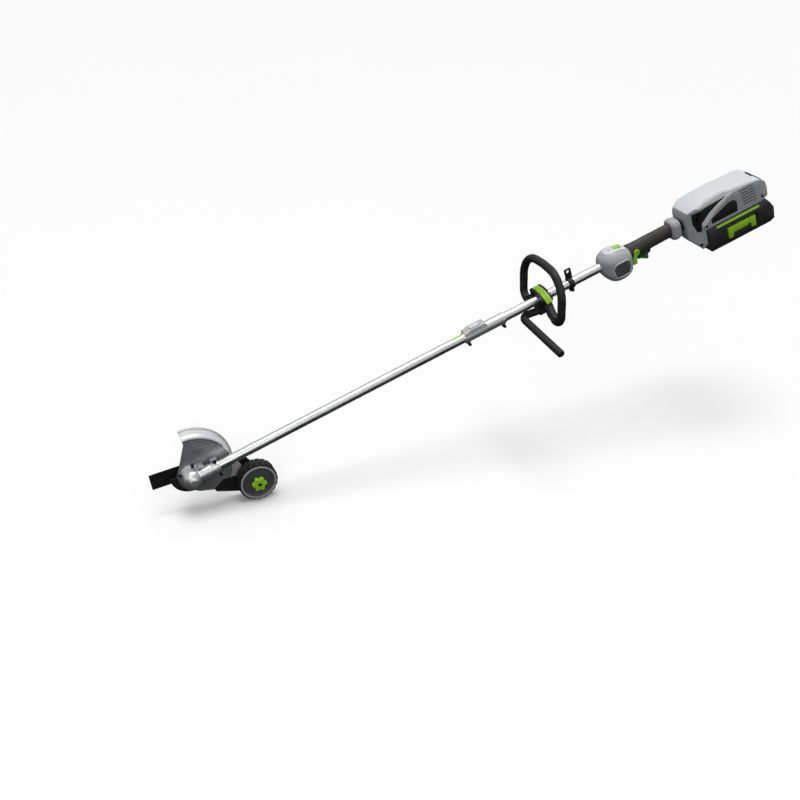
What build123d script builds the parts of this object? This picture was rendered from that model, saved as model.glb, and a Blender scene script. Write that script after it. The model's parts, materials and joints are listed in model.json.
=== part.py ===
"""Battery lawn edger: a pole power head with a blade-and-wheel edging attachment."""

import os
from math import atan2, cos, degrees, radians, sin

from build123d import *

os.makedirs("parts", exist_ok=True)

# ---------------------------------------------------------------- driving dimensions (mm)
# Frame: origin on the ground under the wheel axle, +X towards the operator, +Y to the
# operator's right (the blade side), +Z up. The boom rises towards the operator.
BOOM_PITCH = 18.2
ARBOR_X = -168.0
ARBOR_Z = 100.0

TUBE_R = 12.7
TUBE_WALL = 1.6
TUBE_BORE_R = TUBE_R - TUBE_WALL
FIT = 0.05
SCREW_R = 2.5
SCREW_HEAD_R = 4.3
SCREW_HEAD_HEIGHT = 5.0
SCREW_HOLE_R = 2.6
SCREW_SEAT_R = 4.5

LOWER_TUBE_START = 52.0
LOWER_TUBE_END = 862.5
UPPER_TUBE_START = 867.5
UPPER_TUBE_END = 1315.0

SHAFT_R = 4.0
SHAFT_SQUARE = 6.0
SHAFT_JOIN = 884.0

WHEEL_R = 53.0
WHEEL_RIM_R = 46.5
WHEEL_NEAR_Y = -15.0
AXLE_R = 5.0
DEPTH_TRAVEL = 28.0

BLADE_LENGTH = 203.0
BLADE_WIDTH = 45.0
BLADE_THICKNESS = 2.4
BLADE_Y = 43.0
BLADE_ANGLE = -10.7

GUARD_CENTRE = (11.0, -1.0)
GUARD_R = 109.0
GUARD_SHEET = 2.4
GUARD_PANEL_Y = 24.2

PINION_TEETH = 12
GEAR_TEETH = 18
GEAR_MODULE = 1.6

HANDLE_AT = 1050.0
HANDLE_TILT = 15.0
HANDLE_BAR_R = 11.0
HANDLE_CORE_R = 8.8
HANDLE_HALF_WIDTH = 103.0
HANDLE_CROWN = 101.0
HANDLE_SHOULDER = 94.0
HANDLE_BOTTOM = -38.0
HANDLE_CORNER_R = 72.0
HANDLE_CROWN_R = 160.0
HANDLE_LEG_R = 26.0
HANDLE_FOOT_R = 11.0
SLEEVE_START = 8.0

FRONT_END = 1325.0
BUTTON_U = 1296.0
GRIP_START = 1326.0
GRIP_END = 1464.0
COLLAR_END = 1491.0
NECK_R = 19.0
HOUSING_START = 1503.0
HOUSING_END = 1772.0
DOCK_W = -20.0
HOUSING_WALL = 3.0
TRIGGER_PIVOT = (1355.0, -13.5)
LOCK_PIVOT = (1344.0, 2.5)
MOTOR_START = 1512.0
BATTERY_START = 1553.0

# ---------------------------------------------------------------- boom coordinates
# u runs along the boom from the blade arbor, w is square to it and upwards, y is across.
ALONG = Vector(cos(radians(BOOM_PITCH)), 0, sin(radians(BOOM_PITCH)))
UP = Vector(-sin(radians(BOOM_PITCH)), 0, cos(radians(BOOM_PITCH)))
ACROSS = Vector(0, 1, 0)


def boom_point(u, w=0.0, y=0.0):
    """Point in the row frame for boom coordinates."""
    return Vector(ARBOR_X, 0, ARBOR_Z) + ALONG * u + UP * w + ACROSS * y


def section(u):
    """Plane square to the boom at u: sketch x is y, sketch y is w."""
    return Plane(origin=boom_point(u), x_dir=ACROSS, z_dir=ALONG)


def side(y):
    """Plane along the boom at y, facing the near side: sketch x is u, sketch y is w."""
    return Plane(origin=boom_point(0, 0, y), x_dir=ALONG, z_dir=-ACROSS)


def deck(w):
    """Plane along the boom at w, facing up: sketch x is u, sketch y is y."""
    return Plane(origin=boom_point(0, w), x_dir=ALONG, z_dir=UP)


def wheel_side(y):
    """Plane on the wheel axle at y, facing the near side: sketch x is X, sketch y is Z."""
    return Plane(origin=(0, y, WHEEL_R), x_dir=(1, 0, 0), z_dir=(0, -1, 0))


def push(profile, plane, amount, mode=Mode.ADD):
    """Extrude a finished sketch along its plane's normal."""
    extrude(profile.sketch, amount=amount, dir=plane.z_dir, mode=mode)


def rod(u_start, u_end, radius, w=0.0, y=0.0, mode=Mode.ADD):
    """Round bar along the boom."""
    with BuildSketch(section(u_start)) as profile:
        with Locations((y, w)):
            Circle(radius)
    push(profile, section(u_start), u_end - u_start, mode)


def prism(u_start, u_end, width, height, w=0.0, y=0.0, mode=Mode.ADD):
    """Rectangular bar along the boom."""
    with BuildSketch(section(u_start)) as profile:
        with Locations((y, w)):
            Rectangle(width, height)
    push(profile, section(u_start), u_end - u_start, mode)


def cross_pin(u, w, y_start, y_end, radius, mode=Mode.ADD):
    """Round bar across the boom, from y_start to the larger y_end."""
    with BuildSketch(side(y_end)) as profile:
        with Locations((u, w)):
            Circle(radius)
    push(profile, side(y_end), y_end - y_start, mode)


def side_plate(points, y_start, y_end, mode=Mode.ADD):
    """Flat plate seen from the side, from y_start to the larger y_end."""
    with BuildSketch(side(y_end)) as profile:
        Polygon(*points, align=None)
    push(profile, side(y_end), y_end - y_start, mode)


def block(points, u_start, u_end, mode=Mode.ADD):
    """Bar along the boom whose outline is given in (y, w)."""
    with BuildSketch(section(u_start)) as profile:
        Polygon(*points, align=None)
    push(profile, section(u_start), u_end - u_start, mode)


def wheel_ring(y_start, y_end, outer, inner, mode=Mode.ADD):
    """Ring on the wheel axle."""
    with BuildSketch(wheel_side(y_end)) as profile:
        Circle(outer)
        Circle(inner, mode=Mode.SUBTRACT)
    push(profile, wheel_side(y_end), y_end - y_start, mode)


def save(name, node):
    """Label a finished sub-part and write it."""
    node.part.label = name
    export_step(node.part, f"parts/{name}.step")


def socket_screw(u, w, y, length):
    """M5 socket-head screw across the boom with its head towards the near side."""
    head_y = y - SCREW_HEAD_HEIGHT
    cross_pin(u, w, head_y, y, SCREW_HEAD_R)
    cross_pin(u, w, y, y + length, SCREW_R)
    cross_pin(u, w, head_y, y - 2.5, 2.1, mode=Mode.SUBTRACT)


# ---------------------------------------------------------------- lower tube and drive line
with BuildPart() as lower_tube:
    rod(LOWER_TUBE_START, LOWER_TUBE_END, TUBE_R)
    rod(LOWER_TUBE_START, LOWER_TUBE_END, TUBE_BORE_R, mode=Mode.SUBTRACT)
save("lower_tube", lower_tube)

MARK_START = 768.0
MARK_END = 801.0
with BuildPart() as insertion_mark:
    rod(MARK_START, MARK_END, TUBE_R + 0.45)
    rod(MARK_START, MARK_END, TUBE_R + 0.02, mode=Mode.SUBTRACT)
    prism(MARK_START, MARK_END, 9.0, 8.0, w=TUBE_R, mode=Mode.INTERSECT)
save("insertion_mark", insertion_mark)


def shaft_bushes(stations):
    """Rings that carry the drive shaft inside a tube."""
    for station in stations:
        with BuildSketch(section(station)) as ring:
            Circle(TUBE_BORE_R - FIT)
            Circle(SHAFT_R + FIT, mode=Mode.SUBTRACT)
        push(ring, section(station), 16)


with BuildPart() as lower_shaft_bushes:
    shaft_bushes((140, 330, 520, 710, 835))
save("lower_shaft_bushes", lower_shaft_bushes)

with BuildPart() as lower_drive_shaft:
    prism(53, 66, SHAFT_SQUARE, SHAFT_SQUARE)
    rod(66, 858, SHAFT_R)
    prism(858, SHAFT_JOIN, SHAFT_SQUARE, SHAFT_SQUARE)
save("lower_drive_shaft", lower_drive_shaft)

# ---------------------------------------------------------------- bevel gears
GEAR_PITCH_R = GEAR_MODULE * GEAR_TEETH / 2
PINION_PITCH_R = GEAR_MODULE * PINION_TEETH / 2
CONE_ANGLE = degrees(atan2(PINION_PITCH_R, GEAR_PITCH_R))
SMALL_END = 0.62


def cone_tooth(origin, axis, side_dir, cone_angle, cone_length, turn):
    """One straight bevel tooth that tapers towards the crossing point of the two axes."""
    radial = side_dir.rotate(Axis(origin, axis), turn)
    tangent = radial.cross(axis)
    element = axis * cos(radians(cone_angle)) + radial * sin(radians(cone_angle))
    half_root = GEAR_MODULE * 0.78
    half_tip = GEAR_MODULE * 0.34
    root = GEAR_MODULE * -1.15
    tip = GEAR_MODULE * 0.75
    ends = []
    for scale in (1.0, SMALL_END):
        face = Plane(origin=origin + element * cone_length * scale, x_dir=tangent, z_dir=element)
        with BuildSketch(face) as tooth_end:
            Polygon(
                (-half_root * scale, root * scale),
                (half_root * scale, root * scale),
                (half_tip * scale, tip * scale),
                (-half_tip * scale, tip * scale),
                align=None,
            )
        ends.append(tooth_end.sketch)
    loft(ends)


CONE_LENGTH = (GEAR_PITCH_R**2 + PINION_PITCH_R**2) ** 0.5
CROSSING = boom_point(0)

with BuildPart() as bevel_pinion:
    with BuildSketch(side(0)):
        with BuildLine():
            Polyline(
                (GEAR_PITCH_R * SMALL_END - 0.6, 0),
                (GEAR_PITCH_R * SMALL_END + 0.4, PINION_PITCH_R * SMALL_END - 0.9),
                (GEAR_PITCH_R + 0.9, PINION_PITCH_R - 1.5),
                (GEAR_PITCH_R + 4.0, PINION_PITCH_R - 3.5),
                (GEAR_PITCH_R + 4.0, 5.0),
                (51.0, 5.0),
                (51.0, 7.5),
                (65.0, 7.5),
                (65.0, 0),
                close=True,
            )
        make_face()
    revolve(axis=Axis(CROSSING, ALONG))
    for tooth in range(PINION_TEETH):
        cone_tooth(
            CROSSING, ALONG, ACROSS, CONE_ANGLE, CONE_LENGTH, (tooth + 0.5) * 360 / PINION_TEETH
        )
    prism(52, 65, SHAFT_SQUARE + 0.2, SHAFT_SQUARE + 0.2, mode=Mode.SUBTRACT)
save("bevel_pinion", bevel_pinion)

with BuildPart() as bevel_gear:
    with BuildSketch(Plane(origin=CROSSING, x_dir=ALONG, z_dir=UP)):
        with BuildLine():
            Polyline(
                (5.05, 4.0),
                (GEAR_PITCH_R * SMALL_END - 0.2, PINION_PITCH_R * SMALL_END + 1.1),
                (GEAR_PITCH_R - 0.3, PINION_PITCH_R + 1.5),
                (GEAR_PITCH_R - 1.0, PINION_PITCH_R + 4.5),
                (8.5, PINION_PITCH_R + 4.5),
                (8.5, 17.0),
                (5.05, 17.0),
                close=True,
            )
        make_face()
    revolve(axis=Axis(CROSSING, ACROSS))
    for tooth in range(GEAR_TEETH):
        cone_tooth(
            CROSSING, ACROSS, ALONG, 90 - CONE_ANGLE, CONE_LENGTH, tooth * 360 / GEAR_TEETH
        )
    cross_pin(0, 0, 0, 20, 5.05, mode=Mode.SUBTRACT)
save("bevel_gear", bevel_gear)

# ---------------------------------------------------------------- gear case
CLAMP_BOLT_U = 69.0
CLAMP_BOLT_W = 21.5
FLANGE_SCREW_CIRCLE = 28.0


def flange_screw_places():
    """Places (u, w) of the four screws that hold the guard to the gear case."""
    places = []
    for turn in (60, 150, 240, 330):
        screw_u = FLANGE_SCREW_CIRCLE * cos(radians(turn))
        screw_w = FLANGE_SCREW_CIRCLE * sin(radians(turn))
        places.append((screw_u, screw_w))
    return places


with BuildPart() as gear_case:
    with BuildSketch(Plane(origin=CROSSING, x_dir=ALONG, z_dir=UP)):
        with BuildLine():
            Polyline(
                (0, -26),
                (11, -26),
                (12, -19),
                (14, -17.5),
                (22, -13),
                (25, -8),
                (26, -2),
                (26, 22),
                (0, 22),
                close=True,
            )
        make_face()
    revolve(axis=Axis(CROSSING, ACROSS))
    cross_pin(0, 0, 20, 24, 31)
    cross_pin(0, 0, 24, 34, 14.5)
    rod(8, 76, 15.6)
    for rib in (30, 36, 42, 48):
        rod(rib, rib + 2.6, 17.2)
    rod(57, 76, 17.8)
    side_plate([(61, -26), (76, -26), (76, 26), (61, 26)], -5.5, 5.5)
    side_plate([(18, 14), (40, 14), (40, 20), (26, 24)], -4, 22)
    # Cavities: gear chamber, bearing seats, pinion bore, tube socket and clamp slit.
    cross_pin(0, 0, -5, 18, 21, mode=Mode.SUBTRACT)
    cross_pin(0, 0, -9.5, -5, 16, mode=Mode.SUBTRACT)
    cross_pin(0, 0, -15, -9.5, 9.05, mode=Mode.SUBTRACT)
    cross_pin(0, 0, 18, 29, 11.05, mode=Mode.SUBTRACT)
    cross_pin(0, 0, 29, 34, 7, mode=Mode.SUBTRACT)
    rod(12, 52, 12.5, mode=Mode.SUBTRACT)
    rod(52, 76, TUBE_R + FIT, mode=Mode.SUBTRACT)
    side_plate([(55, -30), (78, -30), (78, 30), (55, 30)], -0.7, 0.7, mode=Mode.SUBTRACT)
    for bolt_w in (-CLAMP_BOLT_W, CLAMP_BOLT_W):
        cross_pin(CLAMP_BOLT_U, bolt_w, -8, 8, SCREW_HOLE_R, mode=Mode.SUBTRACT)
        cross_pin(CLAMP_BOLT_U, bolt_w, -12, -5.5, SCREW_SEAT_R, mode=Mode.SUBTRACT)
    for screw_u, screw_w in flange_screw_places():
        cross_pin(screw_u, screw_w, 18, 26, SCREW_HOLE_R, mode=Mode.SUBTRACT)
        cross_pin(screw_u, screw_w, 10, 20, SCREW_SEAT_R, mode=Mode.SUBTRACT)
save("gear_case", gear_case)

with BuildPart() as gear_case_bearings:
    cross_pin(0, 0, -14.8, -9.8, 9.0)
    cross_pin(0, 0, -14.8, -9.8, 5.05, mode=Mode.SUBTRACT)
    cross_pin(0, 0, 19, 25, 11.0)
    cross_pin(0, 0, 19, 25, 5.05, mode=Mode.SUBTRACT)
    for station in (24, 42):
        with BuildSketch(section(station)):
            Circle(12.45)
            Circle(5.05, mode=Mode.SUBTRACT)
        extrude(amount=7)
save("gear_case_bearings", gear_case_bearings)

# ---------------------------------------------------------------- blade set
with BuildPart() as output_shaft:
    cross_pin(0, 0, -14, 58, 5.0)
save("output_shaft", output_shaft)

with BuildPart() as blade_flanges:
    for y_start, y_end, outer in ((35.0, 38.4, 13.0), (45.6, 49.0, 17.0)):
        with BuildSketch(side(y_end)):
            Circle(outer)
            Circle(5.0 + FIT, mode=Mode.SUBTRACT)
        extrude(amount=y_end - y_start)
save("blade_flanges", blade_flanges)

with BuildPart() as guide_disc:
    with BuildSketch(side(42.9)):
        Circle(30)
        Circle(5.0 + FIT, mode=Mode.SUBTRACT)
        with PolarLocations(21, 5, start_angle=20):
            Circle(3.4, mode=Mode.SUBTRACT)
    extrude(amount=2.4)
    with BuildSketch(side(40.5)):
        Circle(15)
        Circle(5.0 + FIT, mode=Mode.SUBTRACT)
    extrude(amount=2.0)
save("guide_disc", guide_disc)

with BuildPart() as blade:
    with BuildSketch(side(BLADE_Y + BLADE_THICKNESS)):
        with Locations(Location((0, 0), BLADE_ANGLE)):
            Rectangle(BLADE_LENGTH, BLADE_WIDTH)
        Circle(5.0 + FIT, mode=Mode.SUBTRACT)
    extrude(amount=BLADE_THICKNESS)
    blade_ends = blade.edges().filter_by(GeomType.LINE).sort_by(SortBy.LENGTH)
    chamfer([edge for edge in blade_ends if abs(edge.length - BLADE_WIDTH) < 0.5], length=0.9)
save("blade", blade)

with BuildPart() as blade_nut:
    with BuildSketch(side(55.5)):
        RegularPolygon(9.2, 6)
        Circle(5.0 + FIT, mode=Mode.SUBTRACT)
    extrude(amount=6.3)
save("blade_nut", blade_nut)

# ---------------------------------------------------------------- blade guard
GUARD_AXIS = Axis(boom_point(GUARD_CENTRE[0], GUARD_CENTRE[1]), ACROSS)
GUARD_FRONT = 84.0
GUARD_REAR = -14.0
FAR_PANEL_Y = GUARD_PANEL_Y + GUARD_SHEET

with BuildPart() as blade_guard:
    start_dir = ALONG * cos(radians(GUARD_FRONT)) + UP * sin(radians(GUARD_FRONT))
    guard_plane = Plane(
        origin=boom_point(GUARD_CENTRE[0], GUARD_CENTRE[1]),
        x_dir=start_dir,
        z_dir=start_dir.cross(ACROSS),
    )
    with BuildSketch(guard_plane):
        with BuildLine():
            Line((90, GUARD_PANEL_Y), (99, GUARD_PANEL_Y))
            Spline(
                (99, GUARD_PANEL_Y),
                (106, GUARD_PANEL_Y + 4.0),
                (GUARD_R, GUARD_PANEL_Y + 12.0),
                tangents=[(1, 0), (0, 1)],
            )
            Polyline(
                (GUARD_R, GUARD_PANEL_Y + 12.0),
                (GUARD_R, 55.0),
                (GUARD_R + 1.6, 56.5),
                (GUARD_R + 1.6, 66.0),
                (GUARD_R - 0.8, 66.0),
                (GUARD_R - 0.8, 58.0),
                (GUARD_R - GUARD_SHEET, 56.4),
                (GUARD_R - GUARD_SHEET, GUARD_PANEL_Y + 12.0),
            )
            Spline(
                (GUARD_R - GUARD_SHEET, GUARD_PANEL_Y + 12.0),
                (104.3, GUARD_PANEL_Y + 5.7),
                (99, FAR_PANEL_Y),
                tangents=[(0, -1), (-1, 0)],
            )
            Line((99, FAR_PANEL_Y), (90, FAR_PANEL_Y))
            Line((90, FAR_PANEL_Y), (90, GUARD_PANEL_Y))
        make_face()
    revolve(axis=GUARD_AXIS, revolution_arc=GUARD_FRONT - GUARD_REAR)
    with BuildSketch(side(FAR_PANEL_Y)):
        with BuildLine():
            arc_front = (
                GUARD_CENTRE[0] + 94 * cos(radians(GUARD_FRONT)),
                GUARD_CENTRE[1] + 94 * sin(radians(GUARD_FRONT)),
            )
            arc_mid = (
                GUARD_CENTRE[0] + 94 * cos(radians(35)),
                GUARD_CENTRE[1] + 94 * sin(radians(35)),
            )
            arc_rear = (
                GUARD_CENTRE[0] + 94 * cos(radians(GUARD_REAR)),
                GUARD_CENTRE[1] + 94 * sin(radians(GUARD_REAR)),
            )
            ThreePointArc(arc_front, arc_mid, arc_rear)
            Polyline(
                arc_rear,
                (122, -30),
                (126, -50),
                (103, -71),
                (66.5, -62),
                (34, -78),
                (2, -62),
                (-12, -50),
            )
            Spline(
                (-12, -50),
                (-31, -28.5),
                (-35, -11),
                (-30, 12),
                (-13, 40),
                tangents=[(-1, 0.7), (1, 1.6)],
            )
            Line((-13, 40), arc_front)
        make_face()
        Circle(15, mode=Mode.SUBTRACT)
        with Locations(*flange_screw_places()):
            Circle(SCREW_HOLE_R, mode=Mode.SUBTRACT)
    extrude(amount=GUARD_SHEET)
    # Raised ring that seats the gear case flange, and a raised blank plate.
    with BuildSketch(side(GUARD_PANEL_Y)):
        Circle(35)
        Circle(32, mode=Mode.SUBTRACT)
    extrude(amount=2.2)
    side_plate([(38, 52), (88, 45), (90, 53), (44, 62)], GUARD_PANEL_Y - 0.8, GUARD_PANEL_Y)
save("blade_guard", blade_guard)

with BuildPart() as wheel_bracket:
    with BuildSketch(side(30.0)):
        with BuildLine():
            Polyline(
                (84, -38),
                (118, -26),
                (133, -22),
                (143, -28),
                (164, -82),
                (166, -104),
                (156, -114),
                (140, -114),
                (120, -92),
                (92, -64),
                close=True,
            )
        make_face()
        fillet(vertices(), radius=5)
    extrude(amount=3.2)
    with BuildSketch(wheel_side(31.0)):
        with Locations((0, DEPTH_TRAVEL / 2)):
            SlotCenterToCenter(DEPTH_TRAVEL + 0.8, 2 * AXLE_R + 0.8, rotation=90)
    extrude(amount=6, mode=Mode.SUBTRACT)
    for u, w in ((100, -52), (112, -45)):
        cross_pin(u, w, 26, 31, SCREW_HOLE_R, mode=Mode.SUBTRACT)
save("wheel_bracket", wheel_bracket)

SKIRT_R = 54.0
SKIRT_INNER_R = 22.0
SKIRT_ANGLES = (168, 264)


def skirt_point(radius, turn):
    """Point (u, w) at a radius and an angle in degrees about the arbor."""
    return (radius * cos(radians(turn)), radius * sin(radians(turn)))


with BuildPart() as debris_flap:
    # Front skirt behind the guard panel, about the arbor, with its screw's hole.
    with BuildSketch(side(30.0)) as skirt:
        first, last = SKIRT_ANGLES
        middle = (first + last) / 2
        outer_end = skirt_point(SKIRT_R, last)
        inner_end = skirt_point(SKIRT_INNER_R, last)
        outer_start = skirt_point(SKIRT_R, first)
        inner_start = skirt_point(SKIRT_INNER_R, first)
        with BuildLine():
            ThreePointArc(outer_start, skirt_point(SKIRT_R, middle), outer_end)
            Line(outer_end, inner_end)
            ThreePointArc(inner_end, skirt_point(SKIRT_INNER_R, middle), inner_start)
            Line(inner_start, outer_start)
        make_face()
        with Locations(skirt_point(FLANGE_SCREW_CIRCLE, 240)):
            Circle(SCREW_HOLE_R, mode=Mode.SUBTRACT)
    push(skirt, side(30.0), 3.1)
    side_plate(
        [(30, -58), (66, -50), (100, -60), (119, -96), (106, -134), (38, -92)], 30.2, 33.0
    )
    for rib in (0, 1, 2):
        rib_u = 48 + 18 * rib
        rib_foot = -100 - 8 * rib
        side_plate(
            [(rib_u, -60), (rib_u + 3, -60), (rib_u + 15, rib_foot), (rib_u + 12, rib_foot)],
            33.0,
            34.2,
        )
save("debris_flap", debris_flap)

with BuildPart() as attachment_screws:
    for bolt_w in (-CLAMP_BOLT_W, CLAMP_BOLT_W):
        socket_screw(CLAMP_BOLT_U, bolt_w, -5.5, 11)
    for screw_u, screw_w in flange_screw_places():
        socket_screw(screw_u, screw_w, 20.0, 9)
save("attachment_screws", attachment_screws)

# ---------------------------------------------------------------- wheel set
with BuildPart() as axle_stud:
    with BuildSketch(wheel_side(37.0)):
        Circle(AXLE_R)
    extrude(amount=63)
    with BuildSketch(wheel_side(26.4)):
        Circle(9)
    extrude(amount=3.4)
    with BuildSketch(wheel_side(36.0)):
        RegularPolygon(9, 6)
    extrude(amount=5.8)
save("axle_stud", axle_stud)

with BuildPart() as wheel_rim:
    with BuildSketch(Plane(origin=(0, 0, WHEEL_R), x_dir=(1, 0, 0), z_dir=(0, 0, 1))):
        with BuildLine():
            Polyline(
                (AXLE_R + FIT, -9),
                (13, -9),
                (14, -4),
                (17, -3),
                (36, -5),
                (41, -12),
                (44, -13.0),
                (WHEEL_RIM_R, -13.0),
                (WHEEL_RIM_R, 21.5),
                (43.5, 21.5),
                (41.5, 2),
                (36, -1.5),
                (17, 0.5),
                (13, 3),
                (12, 22.4),
                (AXLE_R + FIT, 22.4),
                close=True,
            )
        make_face()
    revolve(axis=Axis((0, 0, WHEEL_R), (0, 1, 0)))
    with BuildSketch(wheel_side(1)):
        with PolarLocations(27, 9):
            Rectangle(18, 2.4)
    extrude(amount=8.5)
save("wheel_rim", wheel_rim)

with BuildPart() as wheel_trim_ring:
    wheel_ring(WHEEL_NEAR_Y - 0.6, -13.2, 48.2, 43.6)
    fillet(wheel_trim_ring.edges().group_by(Axis.Y)[0], radius=0.8)
save("wheel_trim_ring", wheel_trim_ring)

TREAD_COUNT = 20
with BuildPart() as wheel_tyre:
    wheel_ring(-13.0, 21.5, WHEEL_R, WHEEL_RIM_R + FIT)
    tyre_edges = wheel_tyre.edges().filter_by(GeomType.CIRCLE).sort_by(SortBy.RADIUS)
    fillet(tyre_edges[-2:], radius=1.6)
    for y_start, y_end, shift in ((-16, -2, 0.0), (9, 24, 0.5)):
        for lug in range(TREAD_COUNT):
            turn = (lug + shift) * 360 / TREAD_COUNT + 9
            with BuildSketch(wheel_side(y_end)):
                with Locations(Location((0, 0), turn)):
                    with Locations((WHEEL_R, 0)):
                        Rectangle(5.0, 5.2)
            extrude(amount=y_end - y_start, mode=Mode.SUBTRACT)
save("wheel_tyre", wheel_tyre)

with BuildPart() as wheel_knob:
    with BuildSketch(wheel_side(-15.0)):
        Circle(15)
        with PolarLocations(14.5, 6):
            Circle(5.2)
    extrude(amount=12)
    fillet(wheel_knob.edges().group_by(Axis.Y)[0], radius=1.6)
    with BuildSketch(wheel_side(-9.6)):
        Circle(10)
    extrude(amount=5.4)
    with BuildSketch(wheel_side(-9)):
        Circle(AXLE_R + FIT)
    extrude(amount=30, mode=Mode.SUBTRACT)
save("wheel_knob", wheel_knob)

# ---------------------------------------------------------------- upper tube and coupler
with BuildPart() as upper_tube:
    rod(UPPER_TUBE_START, UPPER_TUBE_END, TUBE_R)
    rod(UPPER_TUBE_START, UPPER_TUBE_END, TUBE_BORE_R, mode=Mode.SUBTRACT)
save("upper_tube", upper_tube)

with BuildPart() as upper_shaft_bushes:
    shaft_bushes((920, 1060, 1200, 1297))
save("upper_shaft_bushes", upper_shaft_bushes)

COUPLER_START = 803.0
COUPLER_END = 928.0
with BuildPart() as coupler_body:
    rod(COUPLER_START, COUPLER_END, 15.8)
    with BuildSketch(side(14.5)):
        with BuildLine():
            Polyline(
                (806, -8),
                (806, 19),
                (809, 16.5),
                (813, 16.5),
                (822, 20.5),
                (868, 20.5),
                (872, 15),
                (872, -8),
                close=True,
            )
        make_face()
    extrude(amount=29)
    for lug in (806, 915):
        side_plate([(lug - 2, -13), (lug + 3, -26), (lug + 9, -26), (lug + 12, -13)], -6, 6)
    rod(COUPLER_START, 863, TUBE_R + 0.1, mode=Mode.SUBTRACT)
    rod(863, 867, TUBE_BORE_R, mode=Mode.SUBTRACT)
    rod(867, COUPLER_END, TUBE_R + FIT, mode=Mode.SUBTRACT)
    side_plate([(802, -30), (858, -30), (858, -11), (802, -11)], -0.8, 0.8, mode=Mode.SUBTRACT)
    side_plate([(900, -30), (930, -30), (930, -11), (900, -11)], -0.8, 0.8, mode=Mode.SUBTRACT)
    for lug in (812, 921):
        cross_pin(lug, -22, -8, 8, SCREW_HOLE_R, mode=Mode.SUBTRACT)
    with BuildSketch(deck(12)):
        with Locations((840, 0)):
            SlotOverall(31, 13.0)
    extrude(amount=12, mode=Mode.SUBTRACT)
    with BuildSketch(deck(11)):
        with Locations((840, 0)):
            SlotOverall(36, 18.0)
    extrude(amount=4.5, mode=Mode.SUBTRACT)
save("coupler_body", coupler_body)

with BuildPart() as coupler_release_button:
    with BuildSketch(deck(17.0)):
        with Locations((840, 0)):
            SlotOverall(30, 12.0)
    extrude(amount=7.2)
    fillet(coupler_release_button.edges().group_by(Axis(CROSSING, UP))[-1], radius=1.2)
save("coupler_release_button", coupler_release_button)

with BuildPart() as upper_drive_shaft:
    rod(868, 892, 8.5)
    rod(892, MOTOR_START - 1.5, SHAFT_R)
    prism(866, SHAFT_JOIN + 1, SHAFT_SQUARE + 0.3, SHAFT_SQUARE + 0.3, mode=Mode.SUBTRACT)
save("upper_drive_shaft", upper_drive_shaft)

# ---------------------------------------------------------------- loop handle
HANDLE_PLANE = Plane(
    origin=boom_point(HANDLE_AT),
    x_dir=ACROSS,
    z_dir=ALONG * cos(radians(HANDLE_TILT)) - UP * sin(radians(HANDLE_TILT)),
)
HANDLE_FOOT = (30, -12)


def handle_bar_start(flip, height):
    """Plane across the loop bar on one of its straight sides."""
    corner = HANDLE_PLANE.from_local_coords(Vector(flip * HANDLE_HALF_WIDTH, height, 0))
    return Plane(origin=corner, x_dir=ACROSS, z_dir=HANDLE_PLANE.y_dir)


def handle_leg(flip):
    """Lower leg of the loop, from the straight side round the bottom corner to the yoke."""
    with BuildLine(HANDLE_PLANE) as path:
        FilletPolyline(
            (flip * HANDLE_HALF_WIDTH, SLEEVE_START),
            (flip * HANDLE_HALF_WIDTH, HANDLE_BOTTOM),
            (flip * 72, HANDLE_BOTTOM - 1),
            (flip * HANDLE_FOOT[0], HANDLE_FOOT[1]),
            radius=[HANDLE_LEG_R, HANDLE_FOOT_R],
        )
    with BuildSketch(handle_bar_start(flip, SLEEVE_START)) as bar:
        Circle(HANDLE_BAR_R)
    sweep(bar.sketch, path=path.line)


def handle_top(radius, start, mode=Mode.ADD):
    """Upper run of the loop, up one side from the start height, over the top and down."""
    with BuildLine(HANDLE_PLANE) as path:
        FilletPolyline(
            (HANDLE_HALF_WIDTH, start),
            (HANDLE_HALF_WIDTH, HANDLE_SHOULDER),
            (0, HANDLE_CROWN),
            (-HANDLE_HALF_WIDTH, HANDLE_SHOULDER),
            (-HANDLE_HALF_WIDTH, start),
            radius=[HANDLE_CORNER_R, HANDLE_CROWN_R, HANDLE_CORNER_R],
        )
    with BuildSketch(handle_bar_start(1, start)) as bar:
        Circle(radius)
    sweep(bar.sketch, path=path.line, mode=mode)


CLAMP_BOLT_Y = 17.4


def clamp_bolt_holes():
    """Holes for the two bolts that draw the handle clamp together."""
    for bolt_y in (-CLAMP_BOLT_Y, CLAMP_BOLT_Y):
        with BuildSketch(deck(-18)) as hole:
            with Locations((HANDLE_AT, bolt_y)):
                Circle(SCREW_HOLE_R)
        push(hole, deck(-18), 26, Mode.SUBTRACT)
        with BuildSketch(deck(-24)) as seat:
            with Locations((HANDLE_AT, bolt_y)):
                Circle(SCREW_SEAT_R)
        push(seat, deck(-24), 8, Mode.SUBTRACT)


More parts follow.
